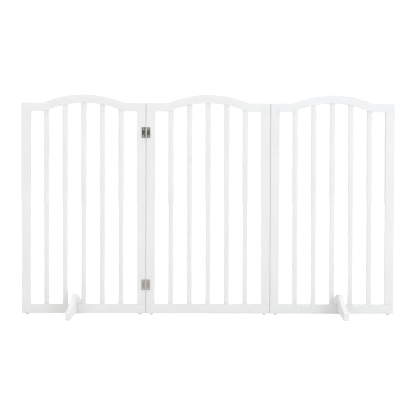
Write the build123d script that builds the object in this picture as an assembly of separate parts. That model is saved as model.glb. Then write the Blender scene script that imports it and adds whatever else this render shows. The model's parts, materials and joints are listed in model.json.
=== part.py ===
from build123d import *

import os
from math import sqrt

# Free-standing folding pet gate: three wooden panels joined by four butt hinges, on two slip-on feet.
# Frame: X along the flat gate, -Y its front, +Z up. The origin is on the floor under the gate's centre.
# The left panel folds to the front about its hinges, and the right panel folds to the back about its own.

# ---- Driving dimensions, millimetres ----
panel_width = 458.0  # each panel, edge to edge
panel_gap = 1.0  # between two panels while the gate is flat
frame_depth = 18.0  # rails and stiles, front to back
edge_round = 1.0  # eased edges of rails and stiles

glide_height = 5.0  # holds the bottom rails off the floor
bottom_rail_height = 35.0
shoulder_height = 781.5  # floor to the level ends of a panel's top edge
crown_height = 812.0  # floor to the middle of the arch
top_band = 29.0  # height of the top rail at its ends, and its width round the arch
arch_half_span = 149.5  # panel's middle to where the arch meets the shoulder
arch_fillet = 35.0  # hollow where the arch runs into the shoulder

stile_width = 33.0
slat_count = 5
slat_width = 20.0
slat_depth = 10.0
slat_round = 4.0
tenon_length = 12.0  # slat held in the rail, past the rail's edge

dowel_radius = 4.0
dowel_length = 30.0
dowel_spacing = 16.0  # two dowels side by side in each stile end
dowel_chamfer = 1.0

glide_radius = 6.0
glide_round = 1.0
glide_peg_radius = 2.0
glide_peg_length = 12.0
glide_inset = 20.0  # panel's end to the middle of a glide

hinge_height = 38.0
upper_hinge_drop = 108.5  # shoulder to the upper hinge's middle
lower_hinge_rise = 106.5  # bottom rail's underside to the lower hinge's middle
leaf_reach = 15.5  # pin's axis to the leaf's far edge
leaf_thickness = 1.5
leaf_corner = 2.0
leaf_clearance = 0.3  # round the other leaf's knuckles
knuckle_count = 5
knuckle_radius = 3.0
knuckle_gap = 0.3  # between two knuckles, along the pin
pin_proud = 3.3  # pin's axis in front of the wood
pin_radius = 1.3
pin_head_radius = 2.3
pin_head_height = 0.8
running_clearance = 0.05  # pin to the folding leaf's knuckles, on the radius

screw_offset = 9.2  # pin's axis to a screw
screw_spacing = 26.0
screw_head_radius = 2.9
screw_rim_proud = 0.15
screw_head_proud = 0.8  # top of the domed head, in front of the leaf
screw_shank_radius = 1.4
screw_point = 2.5
screw_length = 13.0  # leaf's face to the screw's point
recess_length = 3.0  # cross recess in the screw's head
recess_width = 0.7
recess_depth = 1.3

foot_length = 320.0  # toe to toe, across the panel
foot_thickness = 20.0
foot_height = 77.0
foot_round = 2.5
crest_radius = 108.0  # the foot's top: a crest, then a hollow flank down to each toe
crest_angle = 28.0
flank_radius = 309.0
flank_angle = 19.0
toe_round = 8.0
sole_length = 22.0  # part of each toe that meets the floor
arch_rise = 12.5  # underside's height beside the slot
arch_haunch = 7.75  # underside's height halfway from the sole to the slot
slot_clearance = 0.3  # foot to rail, on each side and above
left_foot_offset = -33.5  # from the middle of its panel, outwards
right_foot_offset = 30.0

same_place = 0.01  # tolerance when corners and edges are picked by where they are

# ---- Worked out from the driving dimensions ----
panel_pitch = panel_width + panel_gap
panel_centres = {"left": -panel_pitch, "middle": 0.0, "right": panel_pitch}
rail_top = glide_height + bottom_rail_height
shoulder_underside = shoulder_height - top_band
arch_height = crown_height - shoulder_height
arch_radius = (arch_half_span**2 + arch_height**2) / (2 * arch_height)
arch_centre = crown_height - arch_radius
inner_radius = arch_radius - top_band
stile_centre = (panel_width - stile_width) / 2
slat_gap = (panel_width - 2 * stile_width - slat_count * slat_width) / (slat_count + 1)
slat_pitch = slat_width + slat_gap
seam_offset = panel_pitch / 2
pin_depth = frame_depth / 2 + pin_proud
row_height = hinge_height / knuckle_count
hinge_heights = {"upper": shoulder_height - upper_hinge_drop, "lower": glide_height + lower_hinge_rise}


def underside(x):
    """Height of the top rail's lower edge, x from the panel's middle."""
    arch = arch_centre + sqrt(inner_radius**2 - x**2)
    return max(arch, shoulder_underside)


def bar(width, depth, low, high, radius):
    """An upright bar with rounded edges, from height low to height high."""
    return Pos(0, 0, low) * extrude(RectangleRounded(width, depth, radius), high - low)


def slats():
    """The five slats of one panel, each with its ends in the rails."""
    made = []
    for index in range(slat_count):
        x = (index - (slat_count - 1) / 2) * slat_pitch
        top = underside(abs(x) + slat_width / 2) + tenon_length
        made.append(Pos(x, 0, 0) * bar(slat_width, slat_depth, rail_top - tenon_length, top, slat_round))
    return made


def dowels():
    """Eight hidden dowels of one panel, two in each end of each stile."""
    plain = Cylinder(dowel_radius, dowel_length)
    dowel = chamfer(plain.edges().filter_by(GeomType.CIRCLE), dowel_chamfer)
    made = []
    for stile in (-stile_centre, stile_centre):
        for x in (stile - dowel_spacing / 2, stile + dowel_spacing / 2):
            for z in (rail_top, shoulder_underside):
                made.append(Pos(x, 0, z) * dowel)
    return made


def glides():
    """Two plastic glides of one panel: a round foot, with a peg in the rail."""
    disc = Pos(0, 0, glide_height / 2) * Cylinder(glide_radius, glide_height)
    disc = fillet(disc.edges().group_by(Axis.Z)[0], glide_round)
    peg_middle = glide_height + glide_peg_length / 2
    glide = disc + Pos(0, 0, peg_middle) * Cylinder(glide_peg_radius, glide_peg_length)
    reach = panel_width / 2 - glide_inset
    return [Pos(x, 0, 0) * glide for x in (-reach, reach)]


def bottom_rail():
    """The plain lower rail, the full width of the panel."""
    blank = Box(panel_width, frame_depth, bottom_rail_height)
    return Pos(0, 0, glide_height + bottom_rail_height / 2) * fillet(blank.edges(), edge_round)


def top_rail():
    """The upper rail, one board: level shoulders and an arch of even width."""
    window_height = crown_height - shoulder_underside
    window = Pos(0, shoulder_underside + window_height / 2) * Rectangle(panel_width, window_height)
    shoulders = Pos(0, shoulder_underside + top_band / 2) * Rectangle(panel_width, top_band)
    arch = window & (Pos(0, arch_centre) * Circle(arch_radius))
    face = shoulders + arch - Pos(0, arch_centre) * Circle(inner_radius)
    hollows = [v for v in face.vertices() if abs(abs(v.X) - arch_half_span) < same_place]
    face = fillet(hollows, arch_fillet)
    board = extrude(Plane.XZ * face, frame_depth / 2, both=True)
    return fillet(board.edges(), edge_round)


def hinge_leaf(side, rows, bore_radius):
    """A hinge leaf about the pin's axis: side +1 or -1 along X, with knuckles in the given rows."""
    plate = Box(leaf_reach, leaf_thickness, hinge_height)
    plate = Pos(side * leaf_reach / 2, pin_proud - leaf_thickness / 2, 0) * plate
    far_edges = plate.edges().filter_by(Axis.Y).sort_by(Axis.X)
    leaf = fillet(far_edges[-2:] if side > 0 else far_edges[:2], leaf_corner)
    for row in range(knuckle_count):
        middle = Pos(0, 0, (row - (knuckle_count - 1) / 2) * row_height)
        if row in rows:
            leaf += middle * Cylinder(knuckle_radius, row_height - knuckle_gap)
        else:
            width = 2 * (knuckle_radius + leaf_clearance)
            leaf -= middle * Box(width, 2 * (pin_proud + leaf_clearance), row_height + knuckle_gap)
    return leaf - Cylinder(bore_radius, hinge_height)


def hinge_pin():
    """The hinge's pin, with a low rounded head at each end."""
    pin = Cylinder(pin_radius, hinge_height)
    head = Cylinder(pin_head_radius, pin_head_height)
    head = fillet(head.edges().group_by(Axis.Z)[-1], pin_head_height / 2)
    head = Pos(0, 0, (hinge_height + pin_head_height) / 2) * head
    return pin + head + mirror(head, Plane.XY)


def screw_blank():
    """A raised countersunk screw along +Y without its recess; the leaf's face is at the origin."""
    cone_end = screw_head_radius - screw_shank_radius
    dome = TangentArc((0, -screw_head_proud), (screw_head_radius, -screw_rim_proud), tangent=(1, 0))
    flank = Polyline(
        dome @ 1,
        (screw_head_radius, 0),
        (screw_shank_radius, cone_end),
        (screw_shank_radius, screw_length - screw_point),
        (0, screw_length),
        dome @ 0,
    )
    return revolve(make_face(Curve() + [dome, flank]), Axis.Y)


def screw_recess():
    """The cross recess in a screw's head."""
    slot = Box(recess_length, 2 * recess_depth, recess_width)
    return Pos(0, -screw_head_proud, 0) * (slot + Rot(0, 90, 0) * slot)


def screw_places(side):
    """Where the two screws of a leaf go, about the pin's axis."""
    face = pin_proud - leaf_thickness
    return [Pos(side * screw_offset, face, z) for z in (-screw_spacing / 2, screw_spacing / 2)]


def foot():
    """A foot: a board across the panel, with a slot in its underside that drops over the rail."""
    half = foot_length / 2
    slot_half = frame_depth / 2 + slot_clearance
    slot_top = rail_top + slot_clearance
    crest = JernArc((0, foot_height), (1, 0), crest_radius, -crest_angle)
    flank = JernArc(crest @ 1, crest % 1, flank_radius, flank_angle)
    slope = flank % 1
    toe_top = (flank @ 1).Y + (half - (flank @ 1).X) * slope.Y / slope.X
    toe = Polyline(flank @ 1, (half, toe_top), (half, 0), (half - sole_length, 0))
    haunch = ((half - sole_length + slot_half) / 2, arch_haunch)
    belly = ThreePointArc((half - sole_length, 0), haunch, (slot_half, arch_rise))
    slot = Polyline((slot_half, arch_rise), (slot_half, slot_top), (0, slot_top))
    right_side = [crest, flank, toe, belly, slot]
    left_side = [mirror(line, Plane.YZ) for line in right_side]
    face = make_face(Curve() + right_side + left_side)
    ends = [v for v in face.vertices() if abs(abs(v.X) - half) < same_place]
    face = fillet([v for v in ends if v.Y > sole_length / 2], toe_round)
    board = extrude(Plane.YZ * face, foot_thickness / 2, both=True)
    side = foot_thickness / 2
    rims = [edge for edge in board.edges() if abs(abs(edge.center().X) - side) < same_place]
    return fillet(rims, foot_round)


def cut(blank, tools):
    """The blank with every tool's shape taken out of it."""
    for tool in tools:
        blank -= tool
    return blank


# ---- Hinges, first in their own frame and then at the seams ----
# The right-hand seam's hinges are the left-hand ones turned half round, so they lie on the gate's back.
middle_rows = range(0, knuckle_count, 2)
folding_rows = range(1, knuckle_count, 2)
leaf_kinds = {
    "middle": (+1, middle_rows, pin_radius),
    "folding": (-1, folding_rows, pin_radius + running_clearance),
}
nodes = {}
screw_holes = []
for seam, turn in (("left", 0), ("right", 180)):
    for level, height in hinge_heights.items():
        place = Pos(0, 0, height) * Rot(0, 0, turn) * Pos(-seam_offset, -pin_depth, 0)
        name = f"{seam}_{level}_hinge"
        nodes[f"{name}_pin"] = place * hinge_pin()
        for kind, (side, rows, bore_radius) in leaf_kinds.items():
            blanks = [spot * screw_blank() for spot in screw_places(side)]
            recesses = [spot * screw_recess() for spot in screw_places(side)]
            leaf = cut(hinge_leaf(side, rows, bore_radius), blanks)
            screws = [place * (blank - recess) for blank, recess in zip(blanks, recesses)]
            nodes[f"{name}_{kind}_leaf"] = place * leaf
            nodes[f"{name}_{kind}_screws"] = Compound(screws)
            screw_holes += [place * blank for blank in blanks]

# ---- Panels ----
for panel, centre in panel_centres.items():
    place = Pos(centre, 0, 0)
    panel_slats = slats()
    panel_dowels = dowels()
    panel_glides = glides()
    nodes[f"{panel}_bottom_rail"] = place * cut(bottom_rail(), panel_slats + panel_dowels + panel_glides)
    nodes[f"{panel}_top_rail"] = place * cut(top_rail(), panel_slats + panel_dowels)
    for side, x in (("left", -stile_centre), ("right", stile_centre)):
        stile = Pos(x, 0, 0) * bar(stile_width, frame_depth, rail_top, shoulder_underside, edge_round)
        stile = place * cut(stile, panel_dowels)
        nodes[f"{panel}_stile_{side}"] = cut(stile, screw_holes)
    for number, slat in enumerate(panel_slats, start=1):
        nodes[f"{panel}_slat_{number}"] = place * slat
    nodes[f"{panel}_dowels"] = Compound([place * dowel for dowel in panel_dowels])
    nodes[f"{panel}_glides"] = Compound([place * glide for glide in panel_glides])

# ---- Feet ----
nodes["left_foot"] = Pos(panel_centres["left"] + left_foot_offset, 0, 0) * foot()
nodes["right_foot"] = Pos(panel_centres["right"] + right_foot_offset, 0, 0) * foot()

os.makedirs("parts", exist_ok=True)
for name, shape in nodes.items():
    export_step(shape, f"parts/{name}.step")
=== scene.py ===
import json
from math import radians

import bpy
from mathutils import Euler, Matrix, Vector

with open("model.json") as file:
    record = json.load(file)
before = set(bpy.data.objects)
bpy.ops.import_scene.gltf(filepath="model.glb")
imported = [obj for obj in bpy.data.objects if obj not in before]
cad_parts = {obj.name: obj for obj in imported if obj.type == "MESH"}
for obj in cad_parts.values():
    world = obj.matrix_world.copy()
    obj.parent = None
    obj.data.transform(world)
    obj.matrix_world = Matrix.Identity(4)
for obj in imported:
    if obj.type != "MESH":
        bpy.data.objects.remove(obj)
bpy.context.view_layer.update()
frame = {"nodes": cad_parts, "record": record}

# A white folding pet gate in a bright studio. Metres, +Z up, the gate's front faces -Y.
# Colours and light are linear RGB.

X, Y, Z = 0, 1, 2
MILLIMETRE = 0.001

# ---- Camera ----
IMAGE_WIDTH = 416
SENSOR = 36.0  # width, mm
FOCAL_PIXELS = 826.8
CAMERA_PLACE = (-0.020, -3.059, 0.448)
CAMERA_YAW = -0.37  # degrees to the left of straight on
CAMERA_PITCH = -0.98  # degrees above the horizon
CAMERA_ROLL = 0.185  # degrees anticlockwise, seen from behind it
FARTHEST_SEEN = 200.0  # metres

# ---- Studio ----
FLOOR_REACH = 40.0  # from the middle to each side
FLOOR_TONES = ((0.86, 0.86, 0.86), (0.88, 0.88, 0.88))
FLOOR_ROUGHNESS = 0.9
FLOOR_GLOW = (0.106, 0.100, 0.058)  # what the floor adds to the light on the object
FLOOR_SEEN = (0.58, 0.58, 0.58)  # what it adds to itself as seen, so that it reads as white paper
BACKDROP_WHITE = 1.05
SURROUNDINGS = (  # each side's axis, direction along it, and brightness; the front is dark
    (X, 1.0, (1.12, 1.12, 1.11)),  # right
    (X, -1.0, (0.50, 0.56, 0.65)),  # left
    (Y, 1.0, (0.32, 0.31, 0.38)),  # back
    (Z, 1.0, (1.51, 1.50, 1.42)),  # top
)
SOFT_BOXES = {  # place, the point it faces, width and height, watts, and if it shows in gloss
    "right_box": ((2.7, -2.3, 1.3), (0.0, 0.0, 0.45), (1.2, 1.8), (19.7, 22.3, 26.2), True),
    "left_box": ((-2.0, -1.9, 2.0), (-0.4, 0.0, 0.6), (1.0, 1.2), (10.8, 10.3, 11.5), True),
    "top_box": ((0.2, -1.3, 2.3), (0.1, 0.0, 0.75), (2.8, 0.7), (3.8, 4.7, 5.9), True),
    "front_box": ((0.0, -3.6, 1.7), (0.0, 0.0, 0.5), (2.4, 1.2), (7.6, 5.8, 6.4), False),
}

# ---- Colours ----
PAINT_PALE = (0.8096, 0.8096, 0.80555)
PAINT_DEEP = (0.7776, 0.7760, 0.76734)
PAINT_THIN = (0.700, 0.680, 0.640)  # where the paint is thin over an eased edge
NICKEL = (0.47, 0.440, 0.400)
NICKEL_DARK = (0.33, 0.305, 0.270)
# painted highlight: paler nickel where knuckles, pin heads and edges curve towards the light
NICKEL_PAINTED_HIGHLIGHT = (0.74, 0.71, 0.67)
SCREW_NICKEL = (0.72, 0.70, 0.67)
GLIDE_GREY = (0.72, 0.72, 0.72)
GLIDE_WORN = (0.828, 0.828, 0.828)
BEECH = (0.55, 0.36, 0.19)
BEECH_DARK = (0.396, 0.2592, 0.1368)

# ---- Roughness ----
PAINT_ROUGHNESS = (0.36, 0.46)
HINGE_ROUGHNESS = (0.21, 0.35)
SCREW_ROUGHNESS = (0.20, 0.34)
GLIDE_ROUGHNESS = (0.50, 0.70)
BEECH_ROUGHNESS = 0.65

# ---- Texture features: drawn-out ones by length and width, even ones by how many to a metre ----
PAINT_STREAK = (0.12, 0.0035)
PAINT_FIBRE = (0.030, 0.0006)
PAINT_CLOUDS = 6.0
PAINT_PEEL = 900.0
BRUSH_STROKE = (0.012, 0.00022)
NICKEL_PATCHES = 160.0
GLIDE_GRAIN = 2200.0
GLIDE_SCUFFS = 300.0
BEECH_FIBRE = (0.010, 0.0005)
FLOOR_CLOUDS = 1.5

# ---- Relief ----
STREAK_RELIEF = 0.10 * MILLIMETRE
FIBRE_RELIEF = 0.05 * MILLIMETRE
PEEL_RELIEF = 0.02 * MILLIMETRE
STROKE_RELIEF = 0.02 * MILLIMETRE
GLIDE_RELIEF = 0.03 * MILLIMETRE

# ---- Ranges of a texture's value that are spread out ----
SOFT = (0.30, 0.70)
CRISP = (0.35, 0.65)
WORN_STREAKS = (0.35, 0.75)
SCUFFED = (0.40, 0.70)
ROUNDED_TO_FLAT = (0.90, 0.995)  # how squarely metal faces the front or the back

# ---- What they are spread to ----
WHOLE = (0.0, 1.0)
WHOLE_REVERSED = (1.0, 0.0)
HALF = (0.0, 0.5)
EDGE_WEAR = (0.05, 0.30)
PATCH_TONE = (0.2, 1.0)
STROKE_TONE = (0.6, 1.0)

OFFSET_PER_NODE = (0.37, 0.61, 0.83)  # in features, so that no two boards have the same grain


class Nodes:
    """A material's node tree, with short ways to add and join nodes."""

    COLOURS_IN = (6, 7)  # a mix node's sockets for two colours, after those for other values
    COLOUR_OUT = 2

    def __init__(self, name):
        self.material = bpy.data.materials.new(name)
        self.material.use_nodes = True
        self.tree = self.material.node_tree
        self.shader = self.tree.nodes["Principled BSDF"]
        self.coordinates = self.add("ShaderNodeTexCoord")

    def add(self, kind, **settings):
        node = self.tree.nodes.new(kind)
        for key, value in settings.items():
            setattr(node, key, value)
        return node

    def link(self, source, target):
        self.tree.links.new(source, target)

    def complete(self, **inputs):
        """Joins values to the shader's inputs, named with _ for a space, and gives the material."""
        for name, value in inputs.items():
            self.link(value, self.shader.inputs[name.replace("_", " ")])
        return self.material

    def noise(self, scale, detail, roughness=0.5, distortion=0.0, offset=(0, 0, 0)):
        """Noise over object coordinates, at scale features per metre along each axis."""
        place = self.add("ShaderNodeMapping", vector_type="POINT")
        place.inputs["Location"].default_value = offset
        place.inputs["Scale"].default_value = scale
        self.link(self.coordinates.outputs["Object"], place.inputs["Vector"])
        node = self.add("ShaderNodeTexNoise")
        node.inputs["Scale"].default_value = 1.0
        node.inputs["Detail"].default_value = detail
        node.inputs["Roughness"].default_value = roughness
        node.inputs["Distortion"].default_value = distortion
        self.link(place.outputs["Vector"], node.inputs["Vector"])
        return node.outputs["Fac"]

    def math(self, operation, first, second=None):
        node = self.add("ShaderNodeMath", operation=operation)
        for socket, value in zip(node.inputs, (first, second)):
            if value is None:
                continue
            if isinstance(value, float):
                socket.default_value = value
            else:
                self.link(value, socket)
        return node.outputs[0]

    def remap(self, value, old, new):
        """A value whose range old becomes new, held at its ends."""
        node = self.add("ShaderNodeMapRange", clamp=True)
        for key, number in zip(("From Min", "From Max", "To Min", "To Max"), (*old, *new)):
            node.inputs[key].default_value = number
        self.link(value, node.inputs["Value"])
        return node.outputs["Result"]

    def mix(self, factor, first, second):
        """The first colour where factor is nought, and the second where it is one."""
        node = self.add("ShaderNodeMix", data_type="RGBA")
        self.link(factor, node.inputs["Factor"])
        for index, value in zip(self.COLOURS_IN, (first, second)):
            if isinstance(value, tuple):
                node.inputs[index].default_value = (*value, 1.0)
            else:
                self.link(value, node.inputs[index])
        return node.outputs[self.COLOUR_OUT]

    def bump(self, height, distance, normal=None):
        """A bump whose height of 0 to 1 is that many metres."""
        node = self.add("ShaderNodeBump")
        node.inputs["Strength"].default_value = 1.0
        node.inputs["Distance"].default_value = distance
        self.link(height, node.inputs["Height"])
        if normal is not None:
            self.link(normal, node.inputs["Normal"])
        return node.outputs["Normal"]

    def facing(self, axis):
        """How squarely the surface faces along an axis, either way: one if squarely."""
        split = self.add("ShaderNodeSeparateXYZ")
        self.link(self.coordinates.outputs["Normal"], split.inputs["Vector"])
        return self.math("ABSOLUTE", split.outputs[axis])

    def eased_edge(self, face_axis):
        """One on the rounding between a board's faces and its sides, and nought on either."""
        squared = self.math("POWER", self.facing(face_axis), 2.0)
        product = self.math("MULTIPLY", squared, self.math("SUBTRACT", 1.0, squared))
        return self.math("MULTIPLY", product, 4.0)

    def painted_highlight(self):
        """Painted highlight: one on knuckles, pin heads and edges, whose curves would catch the
        light; nought on flat leaves.
        """
        return self.remap(self.facing(Y), ROUNDED_TO_FLAT, WHOLE_REVERSED)


def even(per_metre):
    """Scales for a texture that is the same in every direction."""
    return (per_metre, per_metre, per_metre)


def along(axis, length, across):
    """Scales for a texture drawn out along one axis, from the size of one feature."""
    scale = [1 / across] * 3
    scale[axis] = 1 / length
    return tuple(scale)


def painted_wood(name, grain_axis, face_axis, offset):
    """Satin white paint over wood: the grain shows faintly through it, along the board."""
    nodes = Nodes(name)
    streaks = nodes.noise(
        along(grain_axis, *PAINT_STREAK), detail=4.0, roughness=0.6, distortion=0.4, offset=offset
    )
    fibres = nodes.noise(along(grain_axis, *PAINT_FIBRE), detail=2.0, offset=offset)
    clouds = nodes.noise(even(PAINT_CLOUDS), detail=2.0, offset=offset)
    peel = nodes.noise(even(PAINT_PEEL), detail=1.0, roughness=0.4, offset=offset)
    tone = nodes.math("ADD", nodes.remap(streaks, SOFT, HALF), nodes.remap(clouds, SOFT, HALF))
    wear = nodes.remap(streaks, WORN_STREAKS, EDGE_WEAR)
    edge = nodes.math("MULTIPLY", nodes.eased_edge(face_axis), wear)
    relief = nodes.bump(nodes.remap(streaks, CRISP, WHOLE), STREAK_RELIEF)
    relief = nodes.bump(fibres, FIBRE_RELIEF, relief)
    return nodes.complete(
        Base_Color=nodes.mix(edge, nodes.mix(tone, PAINT_DEEP, PAINT_PALE), PAINT_THIN),
        Roughness=nodes.remap(clouds, SOFT, PAINT_ROUGHNESS),
        Normal=nodes.bump(peel, PEEL_RELIEF, relief),
    )


def brushed_nickel(name, bright, dark, roughness):
    """Nickel plate with fine vertical brush marks, a slightly uneven tone and a painted highlight
    on its curved parts.
    """
    nodes = Nodes(name)
    strokes = nodes.noise(along(Z, *BRUSH_STROKE), detail=3.0, roughness=0.6)
    patches = nodes.noise(even(NICKEL_PATCHES), detail=3.0, roughness=0.55)
    patch_tone = nodes.remap(patches, SOFT, PATCH_TONE)
    tone = nodes.math("MULTIPLY", patch_tone, nodes.remap(strokes, SOFT, STROKE_TONE))
    nodes.shader.inputs["Metallic"].default_value = 1.0
    return nodes.complete(
        # knuckles, pin heads and edges get the paler nickel as a painted highlight
        Base_Color=nodes.mix(nodes.painted_highlight(), nodes.mix(tone, dark, bright), NICKEL_PAINTED_HIGHLIGHT),
        Roughness=nodes.remap(strokes, SOFT, roughness),
        Normal=nodes.bump(strokes, STROKE_RELIEF),
    )


def moulded_plastic(name):
    """Matt grey plastic with a fine moulded texture, paler where it is scuffed."""
    nodes = Nodes(name)
    grain = nodes.noise(even(GLIDE_GRAIN), detail=2.0, roughness=0.6)
    scuffs = nodes.noise(even(GLIDE_SCUFFS), detail=3.0, roughness=0.6)
    return nodes.complete(
        Base_Color=nodes.mix(nodes.remap(scuffs, SCUFFED, WHOLE), GLIDE_GREY, GLIDE_WORN),
        Roughness=nodes.remap(scuffs, SOFT, GLIDE_ROUGHNESS),
        Normal=nodes.bump(grain, GLIDE_RELIEF),
    )


def bare_beech(name):
    """Unpainted beech for the hidden dowels."""
    nodes = Nodes(name)
    fibres = nodes.noise(along(Z, *BEECH_FIBRE), detail=3.0, roughness=0.6)
    nodes.shader.inputs["Roughness"].default_value = BEECH_ROUGHNESS
    return nodes.complete(
        Base_Color=nodes.mix(nodes.remap(fibres, CRISP, WHOLE), BEECH_DARK, BEECH),
        Normal=nodes.bump(fibres, FIBRE_RELIEF),
    )


def board_axes(node):
    """The axis of a wooden node's grain, and the axis that its wide faces look along."""
    if node.endswith("rail"):
        return X, Y
    if node.endswith("foot"):
        return Y, X
    return Z, Y


def dress():
    """Gives every CAD node its finished material, by the record's slots."""
    shared = {
        "hinge_steel": brushed_nickel("hinge_nickel", NICKEL, NICKEL_DARK, HINGE_ROUGHNESS),
        "screw_steel": brushed_nickel("screw_nickel", SCREW_NICKEL, NICKEL, SCREW_ROUGHNESS),
        "glide_plastic": moulded_plastic("glide_plastic"),
        "dowel_wood": bare_beech("dowel_beech"),
    }
    for number, part in enumerate(frame["record"]["subparts"]):
        node = part["node"]
        material = shared.get(part["material_slot"])
        if material is None:
            offset = tuple(step * number for step in OFFSET_PER_NODE)
            material = painted_wood(f"paint_{node}", *board_axes(node), offset)
        slots = frame["nodes"][node].data.materials
        slots.clear()
        slots.append(material)


def white_floor():
    """A pale floor that reads as white paper."""
    mesh = bpy.data.meshes.new("floor")
    signs = ((-1, -1), (1, -1), (1, 1), (-1, 1))
    corners = [(x * FLOOR_REACH, y * FLOOR_REACH, 0) for x, y in signs]
    mesh.from_pydata(corners, [], [(0, 1, 2, 3)])
    floor = bpy.data.objects.new("floor", mesh)
    bpy.context.scene.collection.objects.link(floor)
    nodes = Nodes("floor_white")
    seen = nodes.add("ShaderNodeLightPath").outputs["Is Camera Ray"]
    nodes.shader.inputs["Roughness"].default_value = FLOOR_ROUGHNESS
    nodes.shader.inputs["Specular IOR Level"].default_value = 0.0
    nodes.shader.inputs["Emission Strength"].default_value = 1.0
    paper = nodes.complete(
        Base_Color=nodes.mix(nodes.noise(even(FLOOR_CLOUDS), detail=2.0), *FLOOR_TONES),
        Emission_Color=nodes.mix(seen, FLOOR_GLOW, FLOOR_SEEN),
    )
    mesh.materials.append(paper)


def surroundings():
    """White behind the object, and light blended from the sides by the squared cosine to each."""
    world = bpy.data.worlds.new("studio")
    bpy.context.scene.world = world
    world.use_nodes = True
    tree = world.node_tree
    tree.nodes.clear()
    direction = tree.nodes.new("ShaderNodeSeparateXYZ")
    tree.links.new(tree.nodes.new("ShaderNodeTexCoord").outputs["Generated"], direction.inputs[0])

    def arithmetic(operation, first, second):
        node = tree.nodes.new("ShaderNodeMath")
        node.operation = operation
        tree.links.new(first, node.inputs[0])
        node.inputs[1].default_value = second
        return node.outputs[0]

    white = tree.nodes.new("ShaderNodeBackground")
    white.inputs["Color"].default_value = (1.0, 1.0, 1.0, 1.0)
    white.inputs["Strength"].default_value = BACKDROP_WHITE
    glow = None
    for axis, sign, colour in SURROUNDINGS:
        cosine = arithmetic("MULTIPLY", direction.outputs[axis], sign)
        light = tree.nodes.new("ShaderNodeBackground")
        light.inputs["Color"].default_value = (*colour, 1.0)
        strength = arithmetic("POWER", arithmetic("MAXIMUM", cosine, 0.0), 2.0)
        tree.links.new(strength, light.inputs["Strength"])
        if glow is None:
            glow = light.outputs[0]
            continue
        total = tree.nodes.new("ShaderNodeAddShader")
        tree.links.new(glow, total.inputs[0])
        tree.links.new(light.outputs[0], total.inputs[1])
        glow = total.outputs[0]

    seen = tree.nodes.new("ShaderNodeLightPath").outputs["Is Camera Ray"]
    mixed = tree.nodes.new("ShaderNodeMixShader")
    for source, socket in zip((seen, glow, white.outputs[0]), mixed.inputs):
        tree.links.new(source, socket)
    output = tree.nodes.new("ShaderNodeOutputWorld")
    tree.links.new(mixed.outputs[0], output.inputs["Surface"])


def soft_box(name, place, aim, size, watts, mirrored):
    """A soft area light at place, turned to face aim. Gloss shows it only if it is mirrored."""
    light = bpy.data.lights.new(name, "AREA")
    light.shape = "RECTANGLE"
    light.size, light.size_y = size
    light.energy = max(watts)
    light.color = tuple(channel / max(watts) for channel in watts)
    box = bpy.data.objects.new(name, light)
    box.location = place
    box.rotation_euler = (Vector(aim) - Vector(place)).to_track_quat("-Z", "Y").to_euler()
    box.visible_glossy = mirrored
    bpy.context.scene.collection.objects.link(box)


def photographer():
    """The camera, near the height of the gate's middle and almost square to it."""
    data = bpy.data.cameras.new("camera")
    data.sensor_width = SENSOR
    data.lens = FOCAL_PIXELS / IMAGE_WIDTH * SENSOR
    data.clip_end = FARTHEST_SEEN
    camera = bpy.data.objects.new("camera", data)
    camera.location = CAMERA_PLACE
    turn = Euler((radians(90 + CAMERA_PITCH), 0, radians(CAMERA_YAW)), "XYZ").to_matrix()
    roll = Euler((0, 0, radians(CAMERA_ROLL)), "XYZ").to_matrix()
    camera.rotation_euler = (turn @ roll).to_euler()
    bpy.context.scene.collection.objects.link(camera)
    bpy.context.scene.camera = camera


dress()
white_floor()
surroundings()
for box_name, settings in SOFT_BOXES.items():
    soft_box(box_name, *settings)
photographer()
bpy.context.scene.view_settings.view_transform = "Standard"
